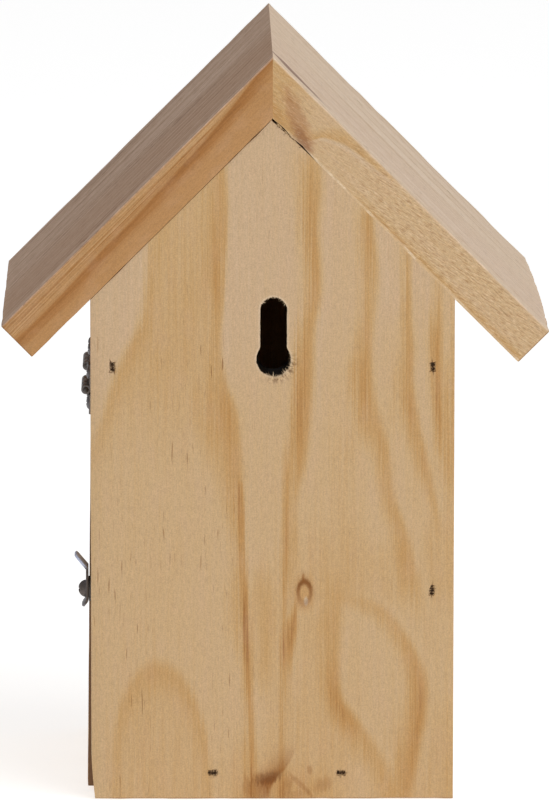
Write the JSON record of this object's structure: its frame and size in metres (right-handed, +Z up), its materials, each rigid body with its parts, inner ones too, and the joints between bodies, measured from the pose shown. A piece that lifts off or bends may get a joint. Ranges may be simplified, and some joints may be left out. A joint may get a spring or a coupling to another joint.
{
  "type": "nest box",
  "caption": "Pitched-roof wooden nest box for small birds, with a round entrance, a hinged side door held by a turn button, and a keyhole in the back to hang it by.",
  "frame": {"origin": "centre of the base: x = 0 in the ridge plane, y = 0 at the middle of the roof's depth, z = 0 at the underside of the panels", "axes": "+Z up, +Y out of the back that hangs against the wall, +X towards the side door"},
  "size_m": [0.1747, 0.135, 0.24],
  "materials": {
    "pine_back": "planed, untreated, with knots",
    "pine_front": "planed, untreated",
    "pine_side": "planed, untreated",
    "pine_roof": "rough sawn edges, lightly weathered top",
    "hinge_steel": "dull zinc, slightly tarnished",
    "screw_steel": "dull zinc",
    "button_steel": "bright zinc",
    "brad_steel": "dark, driven below the surface"
  },
  "bodies": {
    "box": {"back_panel": "pine_back", "front_panel": "pine_front", "fixed_side": "pine_side", "door_header": "pine_side", "floor_board": "pine_side", "roof_board_door_side": "pine_roof", "roof_board_fixed_side": "pine_roof", "rear_hinge_frame_leaf": "hinge_steel", "rear_hinge_pin": "hinge_steel", "front_hinge_frame_leaf": "hinge_steel", "front_hinge_pin": "hinge_steel", "hinge_frame_screws": "screw_steel", "turn_button_washer": "button_steel", "turn_button_screw": "screw_steel", "back_wall_brads": "brad_steel", "front_wall_brads": "brad_steel", "floor_brads": "brad_steel", "roof_brads": "brad_steel"},
    "door": {"side_door": "pine_side", "rear_hinge_door_leaf": "hinge_steel", "front_hinge_door_leaf": "hinge_steel", "hinge_door_screws": "screw_steel"},
    "button": {"turn_button": "button_steel"}
  },
  "joints": [
    {"name": "door_swing", "type": "hinge", "parent": "box", "child": "door", "pos_m": [0.0597, 0.01, 0.129], "axis": [0, -1, 0], "range_deg": [0, 130]},
    {"name": "button_turn", "type": "hinge", "parent": "box", "child": "button", "pos_m": [0.058, 0.058, 0.067], "axis": [1, 0, 0], "continuous": true}
  ]
}
